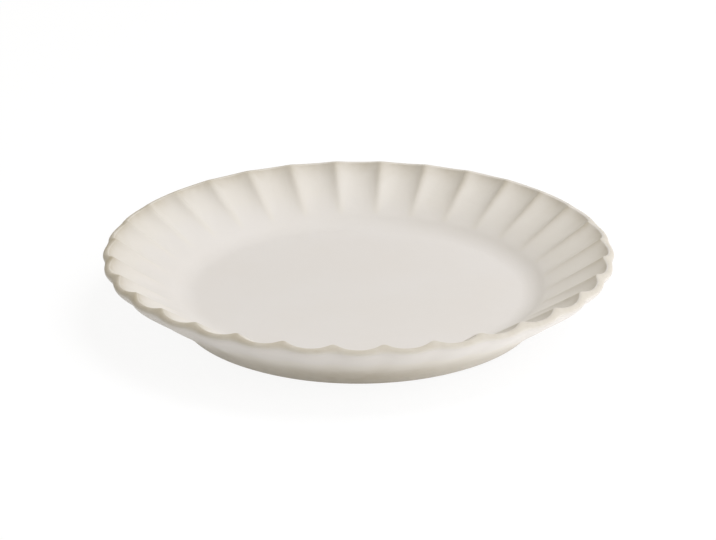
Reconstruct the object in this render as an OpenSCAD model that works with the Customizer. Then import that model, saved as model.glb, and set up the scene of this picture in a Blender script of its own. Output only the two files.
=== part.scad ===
// Scalloped dessert plate: fluted stoneware under a coat of satin glaze.
// It stands on the XY plane with its centre on the Z axis, and a flute faces front, towards -Y.
// Sizes are those of the finished, glazed plate: the clay lies one glaze thickness below them.

/* [Overall] */
// Diameter across the crests of the scalloped rim
overall_d = 210; // [170:1:300]
// Height of the ridge tips, at the inner edge of the rim, above the table
height = 29; // [25:0.5:38]
// Number of flutes round the wall
flute_count = 32; // [20:1:40]

/* [Well and wall] */
// Thickness of the plate under its well
floor_t = 5.8; // [4.5:0.1:8]
// Slope of the ridges, in degrees from level
wall_slope = 32.5; // [27:0.5:40]
// Radius of the curve from the well floor into the wall
well_fillet = 22; // [14:1:28]

/* [Flutes] */
// Depth that a flute gains on its way to the rim, square to the wall
flute_depth = 3.7; // [2.6:0.1:4]
// Distance along the wall from the edge of the well floor to the start of the flutes
flute_start = 11; // [6:0.5:14]
// Power of the flute's growth: 1 is a straight run, more starts it gently
flute_ease = 1.1; // [1:0.1:2]
// Power of the curl at the flute's end: more makes the curl shorter
flute_curl = 10; // [8:1:24]
// Dip of the rim's inner edge from a ridge tip to the middle of a flute
flute_dip = 1.4; // [0.6:0.1:2]
// Power of the hollow across a flute: 2 is a parabola, more makes it flatter with steeper sides
flute_power = 2.25; // [1.8:0.05:3]
// Half width of the rounded back of a ridge
ridge_round = 0.4; // [0.3:0.1:3]

/* [Rim] */
// Width of the rim, seen from above, at the middle of a flute
rim_w = 2.6; // [2:0.1:3.6]
// Width of the rim, seen from above, at a ridge
ridge_w = 4.8; // [4:0.1:6]
// Depth of the notches between the lobes of the outer edge
lobe_depth = 0.85; // [0.3:0.05:1.6]
// Power of the curve along a lobe: 2 is a parabola, more makes its crest flatter
lobe_power = 2; // [1.8:0.1:3]
// Half width of the rounded bottom of a notch
notch_round = 3.4; // [1:0.1:5]
// Drop from the ridge tips to the rim's outer edge
edge_drop = 2.5; // [2:0.1:4]
// Rise of the outer edge from a crest to a notch
notch_rise = 0.5; // [0:0.1:0.8]
// Reach of the rounding on the inner side of the rim
lip_in = 1.6; // [0.8:0.1:2]
// Reach of the rounding on the outer side of the rim
lip_out = 0.8; // [0.5:0.1:1.5]

/* [Outside] */
// Reach of the upright edge below the rim
rim_drop = 4.2; // [2.5:0.1:6]
// Slope of the outside where it meets the foot, in degrees from level
skirt_slope = 48; // [35:1:60]
// Reach of that slope up the outside
skirt_pull = 15; // [8:0.5:18]

/* [Foot] */
// Distance from the edge of the well floor out to the edge of the foot
foot_out = 9.4; // [7:0.1:12]
// Height of the bare foot up to the edge of the glaze
foot_lift = 0.8; // [0.5:0.1:2.5]
// Inset of the resting face from the edge of the foot
foot_bevel = 1.6; // [0.6:0.1:2.4]
// Width of the resting face
foot_w = 5; // [3:0.1:8]
// Height of the recess inside the foot ring
foot_h = 4.2; // [3:0.1:5]

/* [Glaze] */
// Thickness of the glaze
glaze_t = 0.35; // [0.2:0.05:0.6]

/* [Hidden] */

clay_colour = [0.80, 0.72, 0.62];
glaze_colour = [0.90, 0.88, 0.84];

// Points on a fluted ring for each flute, and on a plain ring one point in so many of those
steps = 6;
plain_share = 3;
ring_points = flute_count * steps;

// Plan of the rim
crest_r = overall_d / 2;
tip_r = crest_r - ridge_w;
half_flute = PI * tip_r / flute_count;

// Ridge line: well floor, fillet, then a straight slope up to the tip
floor_z = foot_h + floor_t;
fillet_len = well_fillet * wall_slope * PI / 180;
slope_len = (height - floor_z - well_fillet * (1 - cos(wall_slope))) / sin(wall_slope);
wall_len = fillet_len + slope_len;
floor_r = tip_r - slope_len * cos(wall_slope) - well_fillet * sin(wall_slope);

// End of a flute seen from the ridge tip: its depth square to the wall, its run past the tip and that run's power
end_out = ridge_w - rim_w;
end_depth = end_out * sin(wall_slope) + flute_dip * cos(wall_slope);
end_run = end_out * cos(wall_slope) - flute_dip * sin(wall_slope);
run_ease = 3;

// Foot ring
foot_r = floor_r + foot_out;
rest_outer_r = foot_r - foot_bevel;
rest_inner_r = rest_outer_r - foot_w;

// Stations of the rings, from the middle outwards: lengths up the wall, shares of the way over the rim and
// down the outside, and angles of the quarter round inside the foot
wall_at = concat([0, flute_start / 2, flute_start],
                 [for (t = [0.35, 0.7, 0.92, 1]) flute_start + t * (wall_len - flute_start)]);
rim_at = [0.2, 0.6, 1];
skirt_at = [0.25, 0.55, 0.8, 1];
recess_at = [90, 55, 25];
// Step used to find the direction of a curve at its end
feel = 0.5;

// Place across a flute: 0 in its middle, 1 on the ridge at its side
function across(j) = let (u = j / steps) 2 * abs(u - round(u));

// Curve of a power from 1 in the middle of a flute to 0 at its side, rounded off over its last millimetres
function wave(v, power, rounded) =
    let (start = 1 - rounded / half_flute)
    let (slope = power * pow(start, power - 1))
    let (scale = 1 / (pow(start, power) + slope * (1 - start) / 2))
    v < start ? 1 - scale * pow(v, power) : scale * slope * pow(1 - v, 2) / (2 * (1 - start));
function flute_wave(j) = wave(across(j), flute_power, ridge_round);
function lobe_wave(j) = wave(across(j), lobe_power, notch_round);

// Depth of a flute and its run past the ridge line, at a share t of its length
function flute_sink(t) = flute_depth * pow(t, flute_ease) - (flute_depth - end_depth) * pow(t, flute_curl);
function flute_run(t) = end_run * pow(t, run_ease);

// Radius and height of the inner surface at a length s up the wall, where the flute wave is w
function wall_point(s, w) =
    let (a = max(0, min(wall_slope, s / well_fillet * 180 / PI)))
    let (x = min(0, s) + max(0, s - fillet_len))
    let (t = max(0, (s - flute_start) / (wall_len - flute_start)))
    let (sink = w * flute_sink(t))
    let (run = x + w * flute_run(t))
    [floor_r + well_fillet * sin(a) + sink * sin(a) + run * cos(a),
     floor_z + well_fillet * (1 - cos(a)) - sink * cos(a) + run * sin(a)];

function unit(p) = p / norm(p);
function bezier(p, t) =
    pow(1 - t, 3) * p[0] + 3 * t * pow(1 - t, 2) * p[1] + 3 * t * t * (1 - t) * p[2] + pow(t, 3) * p[3];

// Outer edge of the rim, and the curves that lead over the rim to it and from it down to the foot
function edge_point(q) = [crest_r - lobe_depth * (1 - q), height - edge_drop + notch_rise * (1 - q)];
function rim_curve(w, q) =
    let (inner = wall_point(wall_len, w), outer = edge_point(q))
    [inner, inner + lip_in * unit(inner - wall_point(wall_len - feel, w)), outer + [0, lip_out], outer];
function skirt_curve(q) =
    let (outer = edge_point(q), foot = [foot_r, foot_lift])
    [outer, outer - [0, rim_drop], foot + skirt_pull * [cos(skirt_slope), sin(skirt_slope)], foot];

// Radius and height of the recess inside the foot, a quarter round up from the resting face
function recess_point(a) = [rest_inner_r - foot_h * (1 - cos(a)), foot_h * sin(a)];

// A point of a ring from its radius and height, and the whole ring of one radius and height
function place(j, p) = let (a = 360 * j / ring_points) [p[0] * sin(a), -p[0] * cos(a), p[1]];
function plain_ring(p) = [for (j = [0:ring_points - 1]) place(j, p)];
function fluted_ring(s) = [for (j = [0:ring_points - 1]) place(j, wall_point(s, flute_wave(j)))];
function rim_ring(t) =
    [for (j = [0:ring_points - 1]) place(j, bezier(rim_curve(flute_wave(j), lobe_wave(j)), t))];
function skirt_ring(t) = [for (j = [0:ring_points - 1]) place(j, bezier(skirt_curve(lobe_wave(j)), t))];

// Glazed skin over the top and outside, and inside the foot, each from the middle outwards.
// The first and last ring of each only give the skin's direction at its ends.
top_skin = concat([fluted_ring(-feel)], [for (s = wall_at) fluted_ring(s)], [for (t = rim_at) rim_ring(t)],
                  [for (t = skirt_at) skirt_ring(t)], [skirt_ring(1 + feel / skirt_pull)]);
recess_skin = concat([plain_ring(recess_point(recess_at[0]) - [feel, 0])],
                     [for (a = recess_at) plain_ring(recess_point(a))],
                     [plain_ring(recess_point(0))]);

// Direction square to a skin at point j of its ring i: out of the plate on top, into the clay in the recess
function square_to(skin, i, j) =
    let (n = ring_points)
    unit(cross(skin[i + 1][j] - skin[i - 1][j], skin[i][(j + 1) % n] - skin[i][(j + n - 1) % n]));
// A skin without its two end rings, shifted square to itself
function shifted(skin, by) =
    [for (i = [1:len(skin) - 2]) [for (j = [0:ring_points - 1]) skin[i][j] + by * square_to(skin, i, j)]];

// Rings without flutes keep fewer points: on top those of the well and the lowest ones outside
well_rings = 2;
low_rings = 2;
function thinned(ring) = [for (j = [0:plain_share:len(ring) - 1]) ring[j]];
function is_plain(i, count) = i < well_rings || i >= count - low_rings;
function top_rings(skin) = [for (i = [0:len(skin) - 1]) is_plain(i, len(skin)) ? thinned(skin[i]) : skin[i]];
function recess_rings(skin) = [for (ring = skin) thinned(ring)];

glaze_top = top_rings(shifted(top_skin, 0));
clay_top = top_rings(shifted(top_skin, -glaze_t));
clay_recess = recess_rings(shifted(recess_skin, glaze_t));
glaze_recess = recess_rings(shifted(recess_skin, 0));
rest_rings = [for (r = [rest_outer_r, rest_inner_r]) thinned(plain_ring([r, 0]))];

// Triangles between two rings, given each ring's first point and count, one count a multiple of the other
function band(a, na, b, nb) =
    let (k = max(na, nb) / min(na, nb), mid = floor(k / 2))
    na >= nb
    ? [for (j = [0:na - 1]) [a + j, a + (j + 1) % na, b + round((j + 0.5) / k) % nb],
       for (c = [0:nb - 1]) [a + k * c + mid, b + (c + 1) % nb, b + c]]
    : [for (j = [0:nb - 1]) [a + round((j + 0.5) / k) % na, b + (j + 1) % nb, b + j],
       for (c = [0:na - 1]) [a + c, a + (c + 1) % na, b + k * c + mid]];

function reversed(list) = [for (i = [len(list) - 1:-1:0]) list[i]];
// Number of each ring's first point
function starts(rings, from) = [for (i = 0, n = from; i < len(rings); n = n + len(rings[i]), i = i + 1) n];
// Faces of a skin seen from above: the flat in its middle, then a band from each ring to the next
function faces_of(rings, first) =
    concat([reversed([for (j = [0:len(rings[0]) - 1]) first[0] + j])],
           [for (i = [0:len(rings) - 2])
                each band(first[i], len(rings[i]), first[i + 1], len(rings[i + 1]))]);

// Closed solid between an upper and a lower skin, joined at their outer rings
module shell(upper, lower) {
    top = starts(upper, 0);
    u = len(upper) - 1;
    under = starts(lower, top[u] + len(upper[u]));
    w = len(lower) - 1;
    edge = band(top[u], len(upper[u]), under[w], len(lower[w]));
    polyhedron([for (ring = concat(upper, lower)) each ring],
               concat(faces_of(upper, top), edge, [for (f = faces_of(lower, under)) reversed(f)]));
}

// Fired clay: well, fluted wall, rim, foot ring and recessed underside in one piece
module stoneware_body() {
    color(clay_colour)
        shell(concat(clay_top, rest_rings), clay_recess);
}

// Glaze over the well, wall, rim and outside, down to the bare foot
module glaze_coat() {
    color(glaze_colour)
        shell(glaze_top, clay_top);
}

// Glaze inside the foot ring, apart from the rest of the glaze because the foot is wiped bare
module underside_glaze() {
    color(glaze_colour)
        shell(clay_recess, glaze_recess);
}

stoneware_body();
glaze_coat();
underside_glaze();
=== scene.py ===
"""Scalloped dessert plate.

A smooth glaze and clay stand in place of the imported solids, with studio light, a pale floor and a camera.
"""
import math

import bpy
import numpy as np
from mathutils import Matrix, Vector


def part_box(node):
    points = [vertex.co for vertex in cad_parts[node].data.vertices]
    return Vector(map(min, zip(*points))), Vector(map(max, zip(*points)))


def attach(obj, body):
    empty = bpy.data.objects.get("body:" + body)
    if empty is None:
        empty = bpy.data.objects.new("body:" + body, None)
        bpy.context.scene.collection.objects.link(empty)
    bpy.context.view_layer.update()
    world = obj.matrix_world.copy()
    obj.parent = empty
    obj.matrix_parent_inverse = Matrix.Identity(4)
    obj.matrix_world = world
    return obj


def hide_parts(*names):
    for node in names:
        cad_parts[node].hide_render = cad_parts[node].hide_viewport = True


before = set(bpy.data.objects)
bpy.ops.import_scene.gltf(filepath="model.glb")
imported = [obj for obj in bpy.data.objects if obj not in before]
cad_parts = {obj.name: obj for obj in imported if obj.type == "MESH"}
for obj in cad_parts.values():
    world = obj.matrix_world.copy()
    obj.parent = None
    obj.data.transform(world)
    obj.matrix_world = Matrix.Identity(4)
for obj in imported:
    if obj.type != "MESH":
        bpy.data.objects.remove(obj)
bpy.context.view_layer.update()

# Driving sizes of the glazed plate, in millimetres
MM = 0.001
# Radius of the lobes of the rim, and height of the tips of the ridges
crest_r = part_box("glaze_coat")[1].x / MM
height = 29.0
# Well: the thickness under its floor, the slope of its wall and the radius of the curve between the two
floor_t = 5.8
wall_slope = math.radians(33.5)
well_fillet = 16.0
# Flutes: how deep they get, the length up the wall at which they start, the powers with which they deepen,
# curl over at the rim and flare outwards, how far they end below the tips, and the power of the curve across
# them
flute_count = 32
flute_depth = 3.7
flute_start = 11.0
flute_ease = 1.1
flute_curl = 10
flute_flare = 3
flute_dip = 1.4
flute_power = 2.25
# Width to each side over which the ridges between the flutes are rounded
ridge_round = 1.5
# Rim: how far its inner edge lies inside the lobes, at the middle of a flute and at a ridge
rim_w = 2.6
ridge_w = 4.8
# Its outer edge: the power of the lobes' curve, the depth of the notches between them and the width to each
# side over which these are rounded, how far the edge lies below the tips, and how much less at the notches
lobe_power = 2.0
lobe_depth = 0.85
notch_round = 3.4
edge_drop = 2.5
notch_rise = 0.5
# Handles of the curve over the rim, at its inner and its outer edge
lip_in = 1.5
lip_out = 0.8
# Outside: the handle of its curve below the rim, and the slope and the handle of the curve at the foot
rim_drop = 4.2
skirt_slope = math.radians(48)
skirt_pull = 15.0
# Foot: how far it stands outside the edge of the well floor, the height of its upper edge, the width of its
# bevel and of the ring that it rests on, the height of the recess inside it and the rounding of its edges
foot_out = 6.69
foot_lift = 0.8
foot_bevel = 1.6
foot_w = 5.0
foot_h = 4.2
foot_round = 0.4
# Glaze: its thickness, the angle up the quarter round of the recess at which it ends, and the share of a
# quarter turn that its rounded end is short of, which leaves it a little thickness there
glaze_t = 0.35
recess_glaze_end = math.radians(25)
glaze_end = 0.05

# Sizes that follow from them
tip_r = crest_r - ridge_w
half_flute = math.pi * tip_r / flute_count
floor_z = foot_h + floor_t
fillet_len = well_fillet * wall_slope
slope_len = (height - floor_z - well_fillet * (1 - math.cos(wall_slope))) / math.sin(wall_slope)
wall_len = fillet_len + slope_len
floor_r = tip_r - slope_len * math.cos(wall_slope) - well_fillet * math.sin(wall_slope)
end_out = ridge_w - rim_w
end_depth = end_out * math.sin(wall_slope) + flute_dip * math.cos(wall_slope)
end_run = end_out * math.cos(wall_slope) - flute_dip * math.sin(wall_slope)
foot_r = floor_r + foot_out
rest_outer_r = foot_r - foot_bevel
rest_inner_r = rest_outer_r - foot_w

# Tan on the glaze, as shares: partly glaze that has run thin, and partly painted shade. A pair holds the
# values on the plate's right and on its left.
# On the wall: a faint share, which grows from nothing at the base of the wall
thin_wall = (0.03, 0.01)
# At the inner edge of the rim, tan that is partly glaze run thin and partly painted shade at the upper ends
# of the
# flutes: the share, the part of it that the ridges get, the length over which it fades down the wall, and the
# way over the rim at which it ends
thin_edge_and_shade = (0.31, 0.52)
edge_ridge = (0.3, 1.0)
edge_reach = (5.5, 2.8)
edge_end = 0.5
# Painted shade along the ridges, mostly on the right: the share, and the power that keeps it close to them
painted_ridge_shade = (0.42, 0.04)
ridge_power = 4
# Over the rim, a tan band that is partly glaze run thin and partly painted shade, darker on the left: the
# share, its way over the rim, width and power, and how much more of it the ridges get than the middles of the
# flutes
thin_rim_and_shade = (0.28, 0.65)
rim_band_line = (0.50, 0.42)
rim_band_w = 0.42
line_power = 4
line_wave = (0.0, 0.25)
# A thick roll of glaze where the flutes end: the share that it takes away, its way over the rim and its width
thick_roll = (0.30, 0.18)
roll_line = 0.12
roll_w = 0.1
# Painted shade low on the outside, towards the foot: the share, its way down and width, and the power that
# keeps it to the front and the back
painted_low_shade = 0.4
low_line = 0.83
low_line_w = 0.2
low_power = 4

# Mesh: points for each flute, and rings up the wall, over the rim, down the outside, in a rounding and in the
# recess
FLUTE_POINTS = 24
WALL_RINGS = 52
RIM_RINGS = 16
SKIRT_RINGS = 28
ROUND_RINGS = 6
RECESS_RINGS = 18
# Powers that crowd the points towards the ridges and the rings towards the rim
RIDGE_CROWD = 1.6
RIM_CROWD = 1.3
# Step from one point to the next that is used, under the glaze and in the recess
UNDER_STEP = 2
RECESS_STEP = 4
# Rings of a flat face: their share of its radius, and the step from one point to the next that is used
FLAT_RINGS = ((0.15, 32), (0.35, 16), (0.6, 8), (0.82, 8), (0.92, 4), (0.97, 2))
# Length over which the direction of the wall at the rim is taken
LIP_STEP = 0.5

# Materials: the range in which most of the noise lies, and the height of the bumps in metres
NOISE_RANGE = (0.3, 0.7)
BUMP_HEIGHT = 0.0002

# Camera, fitted to the outline of the plate in a picture of this size
PICTURE_W = 716
PICTURE_H = 540
SENSOR_W = 36.0
camera_elevation = math.radians(21.912)
camera_roll = math.radians(-0.05)
camera_distance = 1634.8
pixels_per_mm = 2.4352
rim_centre_px = (358.5, 248.5)

# Light from all round, and soft boxes, with their distance and size in metres
WORLD_COLOUR = (1.0, 0.93, 0.78, 1)
WORLD_STRENGTH = 0.355
SOFTBOX_COLOUR = (0.97, 0.99, 1.06)
SOFTBOX_DISTANCE = 1.5
SOFTBOX_SIZE = 0.8


def turns():
    """Angles round the plate from the front, and their places across a flute: 0 mid-flute, 1 on a ridge."""
    share = np.arange(FLUTE_POINTS) / FLUTE_POINTS
    place = 1 - (1 - 2 * np.minimum(share, 1 - share)) ** RIDGE_CROWD
    along = np.where(share <= 0.5, place, 2 - place) / 2
    angle = (np.arange(flute_count)[:, None] + along).ravel() * 2 * math.pi / flute_count
    return angle, np.tile(place, flute_count)


def wave(place, power, rounded):
    """Curve of a power from 1 in the middle of a flute to 0 at its side, rounded off near the side."""
    start = 1 - rounded / half_flute
    slope = power * start ** (power - 1)
    scale = 1 / (start**power + slope * (1 - start) / 2)
    middle = 1 - scale * place**power
    side = scale * slope * (1 - place) ** 2 / (2 * (1 - start))
    return np.where(place < start, middle, side)


turn, across = turns()
flute_wave = wave(across, flute_power, ridge_round)
lobe_wave = wave(across, lobe_power, notch_round)


def level(s):
    """Share of the way along the flutes at a length s up the wall."""
    return max(0, (s - flute_start) / (wall_len - flute_start))


def wall_point(s):
    """Radii and heights of the inner surface at a length s up the wall, all round the plate."""
    a = min(max(s / well_fillet, 0), wall_slope)
    t = level(s)
    sink = flute_wave * (flute_depth * t**flute_ease - (flute_depth - end_depth) * t**flute_curl)
    run = min(0, s) + max(0, s - fillet_len) + flute_wave * end_run * t**flute_flare
    r = floor_r + (well_fillet + sink) * math.sin(a) + run * math.cos(a)
    z = floor_z + well_fillet - (well_fillet + sink) * math.cos(a) + run * math.sin(a)
    return np.stack([r, z])


def bezier(points, t):
    """Point at a way t along a curve with four control points."""
    a, b, c, d = points
    return (1 - t) ** 3 * a + 3 * t * (1 - t) ** 2 * b + 3 * t * t * (1 - t) * c + t**3 * d


def outer_curves():
    """Control points of the curves that lead over the rim, and from its outer edge down to the foot."""
    up = np.array([[0.0], [1.0]])
    slant = np.array([[math.cos(skirt_slope)], [math.sin(skirt_slope)]])
    inner = wall_point(wall_len)
    lip = inner - wall_point(wall_len - LIP_STEP)
    notch = 1 - lobe_wave
    outer = np.stack([crest_r - lobe_depth * notch, height - edge_drop + notch_rise * notch])
    foot = np.stack([np.full_like(turn, foot_r), np.full_like(turn, foot_lift)])
    rim = (inner, inner + lip_in * lip / np.linalg.norm(lip, axis=0), outer + lip_out * up, outer)
    skirt = (outer, outer - rim_drop * up, foot + skirt_pull * slant, foot)
    return rim, skirt


def lean(pair):
    """A value that changes evenly from the plate's right to its left, all round the plate."""
    right, left = pair
    return (right + left) / 2 + (right - left) / 2 * np.sin(turn)


def bump(t, middle, width, power=2):
    """Bell curve that is 1 at its middle, with a flatter top at a higher power."""
    return np.exp(-np.abs((t - middle) / width) ** power)


def glazed_skin():
    """Rings of the glazed surface from the edge of the well floor to the foot, and the share of tan on them,
    from thin glaze and painted shade.
    """
    rim, skirt = outer_curves()
    rings, thin_and_shade = [], []

    # Tan at the inner edge of the rim: partly thin glaze, partly painted shade at the upper ends of the
    # flutes
    edge = lean(thin_edge_and_shade) * (flute_wave + lean(edge_ridge) * (1 - flute_wave))
    for x in np.linspace(0, 1, WALL_RINGS):
        s = wall_len * (1 - (1 - x) ** RIM_CROWD)
        rings.append(wall_point(s))
        faint = lean(thin_wall) * s / wall_len
        # Painted shade along the ridges, strongest on the right
        ridge = lean(painted_ridge_shade) * level(s) * (1 - flute_wave) ** ridge_power
        thin_and_shade.append(faint + ridge + edge * np.exp((s - wall_len) / lean(edge_reach)))

    uneven = 1 + lean(line_wave) * (0.5 - flute_wave)
    for t in np.linspace(0, 1, RIM_RINGS + 1)[1:]:
        rings.append(bezier(rim, t))
        # Tan band over the rim: partly thin glaze, partly painted shade that is darker on the left
        line = lean(thin_rim_and_shade) * uneven * bump(t, lean(rim_band_line), rim_band_w, line_power)
        roll = lean(thick_roll) * bump(t, roll_line, roll_w) * flute_wave
        thin_and_shade.append(np.maximum(edge * max(0, 1 - t / edge_end), line) - roll)

    # The last rings lie within the glaze's thickness of its end, ever closer, so that the end can be rounded
    end_share = glaze_t / (3 * skirt_pull)
    rounding = end_share * (1 - np.sin(np.linspace(0, (1 - glaze_end) * math.pi / 2, ROUND_RINGS)))
    for t in [*np.linspace(0, 1 - end_share, SKIRT_RINGS)[1:], *(1 - rounding[1:])]:
        rings.append(bezier(skirt, t))
        # Painted shade low on the outside, at the front and the back
        thin_and_shade.append(painted_low_shade * bump(t, low_line, low_line_w) * np.cos(turn) ** low_power)
    return np.array(rings), np.array(thin_and_shade)


def in_space(rings, thin_and_shade):
    """Points of rings of radii and heights, in metres, each with its share of tan from thin glaze and painted
    shade.
    """
    r, z = rings[:, 0] * MM, rings[:, 1] * MM
    return np.stack([r * np.sin(turn), -r * np.cos(turn), z, thin_and_shade], axis=-1)


def square_to(skin):
    """Unit directions out of a skin of rings."""
    points = skin[..., :3]
    across_rings = np.gradient(points, axis=0)
    along_ring = np.roll(points, -1, axis=1) - np.roll(points, 1, axis=1)
    direction = np.cross(across_rings, along_ring)
    return direction / np.linalg.norm(direction, axis=-1, keepdims=True)


def plain_ring(r, z, step):
    """A ring of one radius and height, with a step from one point to the next that is used."""
    angle = turn[::step]
    return np.stack([r * np.sin(angle), -r * np.cos(angle), np.full_like(angle, z), 0 * angle], axis=-1) * MM


def flat_rings(r, z, step):
    """Rings of a flat round face from its middle to just inside a radius, with ever more points."""
    middle = np.array([[0, 0, z * MM, 0]])
    return [middle] + [plain_ring(share * r, z, fewer * step) for share, fewer in FLAT_RINGS]


def band(a, b):
    """Faces between two rings of point numbers, of which one may have twice as many, or be a single point."""
    n, m = len(a), len(b)
    if n == 1:
        return [(a[0], b[j], b[(j + 1) % m]) for j in range(m)]
    if m == 1:
        return [(a[j], b[0], a[(j + 1) % n]) for j in range(n)]
    if n == m:
        return [(a[j], b[j], b[(j + 1) % m], a[(j + 1) % n]) for j in range(n)]
    faces = []
    for c in range(min(n, m)):
        if n < m:
            near, far = (a[c], a[(c + 1) % n]), (b[2 * c], b[2 * c + 1], b[(2 * c + 2) % m])
            faces += [(near[0], far[0], far[1]), (near[0], far[1], near[1]), (near[1], far[1], far[2])]
        else:
            near, far = (b[c], b[(c + 1) % m]), (a[2 * c], a[2 * c + 1], a[(2 * c + 2) % n])
            faces += [(far[0], near[0], far[1]), (far[1], near[0], near[1]), (far[1], near[1], far[2])]
    return faces


def solid(name, rings, material, node):
    """Closed piece from rings that run from the middle of its top, round its edge, to the middle below."""
    first = np.cumsum([0] + [len(ring) for ring in rings])
    numbers = [range(first[i], first[i + 1]) for i in range(len(rings))]
    faces = [face for i in range(len(rings) - 1) for face in band(numbers[i], numbers[i + 1])]
    points = np.concatenate(rings)
    mesh = bpy.data.meshes.new(name)
    mesh.from_pydata(points[:, :3].tolist(), [], faces)
    thin_and_shade = mesh.attributes.new("glaze_thin_and_shade", "FLOAT", "POINT")
    thin_and_shade.data.foreach_set("value", points[:, 3].astype(np.float32))
    mesh.shade_smooth()
    mesh.materials.append(material)
    piece = bpy.data.objects.new(name, mesh)
    bpy.context.scene.collection.objects.link(piece)
    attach(piece, "root")
    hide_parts(node)


def corner(before, at, after, reach):
    """Points of a rounded corner of an outline."""
    before, at, after = (np.array(p) for p in (before, at, after))
    start = at + reach * (before - at) / np.linalg.norm(before - at)
    end = at + reach * (after - at) / np.linalg.norm(after - at)
    return [(1 - t) ** 2 * start + 2 * t * (1 - t) * at + t * t * end for t in np.linspace(0, 1, ROUND_RINGS)]


def recess_point(angle, depth):
    """Point of the quarter round inside the foot, at a depth below the glazed surface."""
    size = foot_h + depth
    return rest_inner_r - foot_h + size * math.cos(angle), size * math.sin(angle)


def set_inputs(tree, node, inputs):
    """Sets the inputs of a node, by name or number, to values or to the outputs of other nodes."""
    for name, value in inputs.items():
        if isinstance(value, bpy.types.NodeSocket):
            tree.links.new(value, node.inputs[name])
        else:
            node.inputs[name].default_value = value
    return node


def add(tree, kind, inputs, **settings):
    """A new shader node with its settings and inputs."""
    node = tree.nodes.new(kind)
    for name, value in settings.items():
        setattr(node, name, value)
    return set_inputs(tree, node, inputs)


def noise(tree, place, scale, detail):
    """Noise of a scale in repeats a metre."""
    inputs = {"Vector": place, "Scale": scale, "Detail": detail}
    return add(tree, "ShaderNodeTexNoise", inputs).outputs["Fac"]


def mapped(tree, value, low, high, start, end):
    """A value from start to end, brought to the range from low to high."""
    inputs = {"Value": value, "From Min": start, "From Max": end, "To Min": low, "To Max": high}
    return add(tree, "ShaderNodeMapRange", inputs).outputs["Result"]


def varied(tree, place, scale, detail, low, high):
    """Noise that is brought to the range from low to high."""
    return mapped(tree, noise(tree, place, scale, detail), low, high, *NOISE_RANGE)


def bumped(tree, relief, strength):
    """Directions of a surface with fine relief."""
    inputs = {"Height": relief, "Strength": strength, "Distance": BUMP_HEIGHT}
    return add(tree, "ShaderNodeBump", inputs).outputs["Normal"]


def blended(tree, share, a, b):
    """Colour between two colours, which are inputs 6 and 7 of a mix node."""
    return add(tree, "ShaderNodeMix", {0: share, 6: a, 7: b}, data_type="RGBA").outputs[2]


def combined(tree, operation, a, b):
    """Result of an operation on two values."""
    return add(tree, "ShaderNodeMath", {0: a, 1: b}, operation=operation).outputs[0]


def new_material(name):
    """A new material with its node tree, its shader and the place on the object."""
    material = bpy.data.materials.new(name)
    material.use_nodes = True
    tree = material.node_tree
    place = add(tree, "ShaderNodeTexCoord", {}).outputs["Object"]
    return material, tree, tree.nodes["Principled BSDF"], place


def glaze_material():
    """Satin cream glaze: faintly clouded, yellower where it is slightly thin and tan where it is thinner, and
    also tan where shade is painted on it.
    """
    cream = (0.730, 0.703, 0.670, 1)
    warm_cream = (0.722, 0.690, 0.650, 1)
    yellow_cream = (0.745, 0.714, 0.661, 1)
    warm_yellow = (0.737, 0.701, 0.641, 1)
    thin_and_shade_tan = (0.420, 0.359, 0.242, 1)
    all_yellow = 0.02
    material, tree, shader, place = new_material("satin_glaze")
    thin_and_shade = add(tree, "ShaderNodeAttribute", {}, attribute_name="glaze_thin_and_shade").outputs["Fac"]
    clouds = varied(tree, place, scale=30, detail=3, low=0, high=1)
    breaks = varied(tree, place, scale=220, detail=3, low=0.8, high=1.2)
    yellowed = mapped(tree, thin_and_shade, 0, 1, 0, all_yellow)
    thick_colour = blended(tree, clouds, cream, warm_cream)
    thin_colour = blended(tree, clouds, yellow_cream, warm_yellow)
    colour = blended(tree, yellowed, thick_colour, thin_colour)
    # Tan from glaze that is thin and from painted shade, both carried by the same share
    colour = blended(tree, combined(tree, "MULTIPLY", thin_and_shade, breaks), colour, thin_and_shade_tan)
    roughness = varied(tree, place, scale=160, detail=4, low=0.56, high=0.66)
    ripple = bumped(tree, noise(tree, place, scale=500, detail=2), strength=0.12)
    inputs = {"Base Color": colour, "Roughness": roughness, "Normal": ripple, "Specular IOR Level": 0.25}
    set_inputs(tree, shader, inputs)
    return material


def clay_material():
    """Bare fired stoneware: matte buff with a fine sandy grain."""
    buff = (0.52, 0.44, 0.34, 1)
    dark_buff = (0.40, 0.33, 0.25, 1)
    grain_range = (0.3, 0.75)
    material, tree, shader, place = new_material("bare_stoneware")
    grain = noise(tree, place, scale=2500, detail=4)
    colour = blended(tree, mapped(tree, grain, 0, 1, *grain_range), buff, dark_buff)
    roughness = varied(tree, place, scale=700, detail=2, low=0.75, high=0.92)
    sand = bumped(tree, grain, strength=0.4)
    set_inputs(tree, shader, {"Base Color": colour, "Roughness": roughness, "Normal": sand})
    return material


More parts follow.
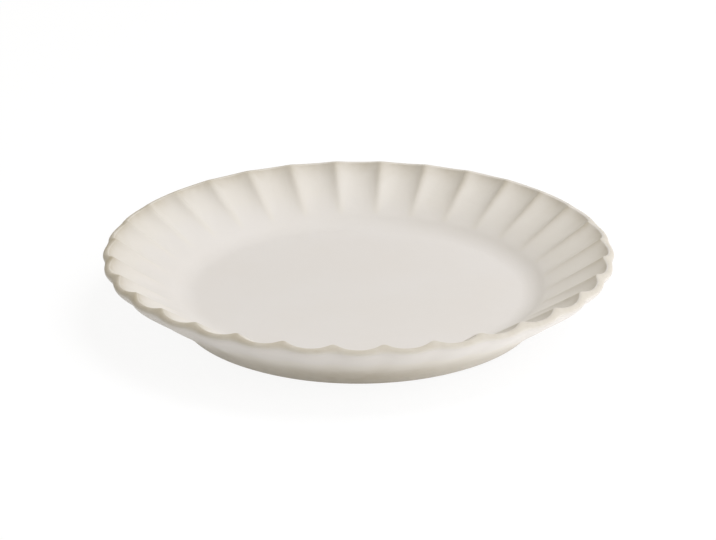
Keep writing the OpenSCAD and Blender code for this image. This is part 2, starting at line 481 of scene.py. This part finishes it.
def build_plate():
    """Clay body, glaze over its top and outside, and glaze inside the foot."""
    glaze = glaze_material()
    clay = clay_material()
    skin = in_space(*glazed_skin())
    under = skin.copy()
    under[..., :3] -= glaze_t * MM * square_to(skin)
    # The glaze thins to almost nothing over its last rings, at the bare foot
    swell = np.sin(np.linspace(math.pi / 2, glaze_end * math.pi / 2, ROUND_RINGS))
    for ring, ring_under, share in zip(skin[-ROUND_RINGS:], under[-ROUND_RINGS:], swell):
        ring[:, :3] = ring_under[:, :3] + share * (ring - ring_under)[:, :3]

    top = flat_rings(floor_r, floor_z, 1) + list(skin)
    contact = flat_rings(floor_r, floor_z - glaze_t, UNDER_STEP)
    contact += [ring[::UNDER_STEP] for ring in under[::-UNDER_STEP]][::-1]
    solid("plate_glaze", top + contact[::-1], glaze, "glaze_coat")

    recess_r = rest_inner_r - foot_h
    angles = np.linspace(math.pi / 2, recess_glaze_end, RECESS_RINGS)
    depths = glaze_t * np.array([*np.zeros(RECESS_RINGS - ROUND_RINGS), *(1 - swell)])
    ceiling = flat_rings(recess_r, foot_h + glaze_t, RECESS_STEP)
    ceiling += [plain_ring(*recess_point(angle, glaze_t), RECESS_STEP) for angle in angles]
    glazed = flat_rings(recess_r, foot_h, RECESS_STEP)
    glazed += [plain_ring(*recess_point(angle, depth), RECESS_STEP) for angle, depth in zip(angles, depths)]
    solid("foot_recess_glaze", ceiling + glazed[::-1], glaze, "underside_glaze")

    x, y, z = contact[-1][0, :3] / MM
    rest_outer = (rest_outer_r, 0)
    rest_inner = (rest_inner_r, 0)
    bare = corner((math.hypot(x, y), z), rest_outer, rest_inner, foot_round)
    bare += corner(rest_outer, rest_inner, recess_point(recess_glaze_end, glaze_t), foot_round)
    foot = [plain_ring(*point, UNDER_STEP) for point in bare]
    solid("plate_clay", contact + foot + ceiling[::-1], clay, "stoneware_body")


def add_camera():
    """Camera at the fitted angle, aimed so that the middle of the rim falls on its place in the picture."""
    back = Vector((0, -math.cos(camera_elevation), math.sin(camera_elevation)))
    up = Vector((0, math.sin(camera_elevation), math.cos(camera_elevation)))
    right = (PICTURE_W / 2 - rim_centre_px[0]) / pixels_per_mm
    below = (PICTURE_H / 2 - rim_centre_px[1]) / pixels_per_mm
    middle = Vector((0, 0, height))
    target = middle + Vector((right, 0, 0)) - below * up
    data = bpy.data.cameras.new("camera")
    data.sensor_width = SENSOR_W
    data.lens = SENSOR_W / PICTURE_W * pixels_per_mm * camera_distance
    data.clip_end = 100
    camera = bpy.data.objects.new("camera", data)
    camera.location = (middle + camera_distance * back) * MM
    aim = (target * MM - camera.location).to_track_quat("-Z", "Y").to_matrix()
    camera.rotation_euler = (aim @ Matrix.Rotation(camera_roll, 3, "Z")).to_euler()
    bpy.context.scene.collection.objects.link(camera)
    bpy.context.scene.camera = camera


def seen_directly(tree):
    """1 for rays from the camera, and for those that mirror or pass on its view, and otherwise 0."""
    path = add(tree, "ShaderNodeLightPath", {})
    seen = path.outputs["Is Camera Ray"]
    for name in ("Is Glossy Ray", "Is Transmission Ray"):
        seen = combined(tree, "MAXIMUM", seen, path.outputs[name])
    return seen


def add_floor():
    """Pale floor that shows white with a soft shadow, and that lights the plate most on its right."""
    floor_size = 6.0
    bounce = 0.86
    # What the floor shows: full white, of which this share takes the shadow
    shown_white = 1.02
    shadow_share = 0.12
    # Its glow on the left, in front and on the right, and the way from the middle to the first and the last
    glow_left = 0.11
    glow_front = 0.165
    glow_right = 0.64
    glow_reach = 0.135
    half = floor_size / 2
    corners = [(-half, -half, 0), (half, -half, 0), (half, half, 0), (-half, half, 0)]
    mesh = bpy.data.meshes.new("floor")
    mesh.from_pydata(corners, [], [(0, 1, 2, 3)])
    material = bpy.data.materials.new("white_floor")
    material.use_nodes = True
    tree = material.node_tree
    tree.nodes.remove(tree.nodes["Principled BSDF"])
    place = add(tree, "ShaderNodeTexCoord", {}).outputs["Object"]
    right = add(tree, "ShaderNodeSeparateXYZ", {0: place}).outputs["X"]
    left_part = mapped(tree, right, glow_left, glow_front, -glow_reach, 0)
    right_part = mapped(tree, right, 0, glow_right - glow_front, 0, glow_reach)
    glow = combined(tree, "ADD", left_part, right_part)
    diffuse = add(tree, "ShaderNodeBsdfDiffuse", {"Color": (bounce, bounce, bounce, 1)}).outputs[0]
    shine = add(tree, "ShaderNodeEmission", {"Strength": glow}).outputs[0]
    lit = add(tree, "ShaderNodeAddShader", {0: diffuse, 1: shine}).outputs[0]
    shadow_colour = (shadow_share, shadow_share, shadow_share, 1)
    soft = add(tree, "ShaderNodeBsdfDiffuse", {"Color": shadow_colour}).outputs[0]
    white = add(tree, "ShaderNodeEmission", {"Strength": shown_white - shadow_share}).outputs[0]
    shown = add(tree, "ShaderNodeAddShader", {0: soft, 1: white}).outputs[0]
    surface = add(tree, "ShaderNodeMixShader", {0: seen_directly(tree), 1: lit, 2: shown}).outputs[0]
    tree.links.new(surface, tree.nodes["Material Output"].inputs["Surface"])
    mesh.materials.append(material)
    floor = bpy.data.objects.new("floor", mesh)
    bpy.context.scene.collection.objects.link(floor)


def add_world():
    """Faint warm light from all round, before a white background."""
    world = bpy.data.worlds.new("studio")
    bpy.context.scene.world = world
    world.use_nodes = True
    tree = world.node_tree
    light = tree.nodes["Background"]
    set_inputs(tree, light, {"Color": WORLD_COLOUR, "Strength": WORLD_STRENGTH})
    white = add(tree, "ShaderNodeBackground", {"Color": (1, 1, 1, 1), "Strength": 1.0})
    inputs = {0: seen_directly(tree), 1: light.outputs[0], 2: white.outputs[0]}
    mixed = add(tree, "ShaderNodeMixShader", inputs).outputs[0]
    tree.links.new(mixed, tree.nodes["World Output"].inputs["Surface"])


def add_softbox(name, azimuth, elevation, power):
    """Square area light aimed at the plate. The azimuth goes from the front towards the right, in degrees."""
    azimuth = math.radians(azimuth)
    elevation = math.radians(elevation)
    level_way = SOFTBOX_DISTANCE * math.cos(elevation)
    data = bpy.data.lights.new(name, "AREA")
    data.size = SOFTBOX_SIZE
    data.energy = power
    data.color = SOFTBOX_COLOUR
    lamp = bpy.data.objects.new(name, data)
    lamp.location.x = level_way * math.sin(azimuth)
    lamp.location.y = -level_way * math.cos(azimuth)
    lamp.location.z = SOFTBOX_DISTANCE * math.sin(elevation)
    lamp.rotation_euler = (-lamp.location).to_track_quat("-Z", "Y").to_euler()
    bpy.context.scene.collection.objects.link(lamp)


build_plate()
add_camera()
add_floor()
add_world()
add_softbox("right", azimuth=97, elevation=65, power=13.5)
add_softbox("front_right", azimuth=45, elevation=40, power=5.4)
bpy.context.scene.view_settings.view_transform = "Standard"
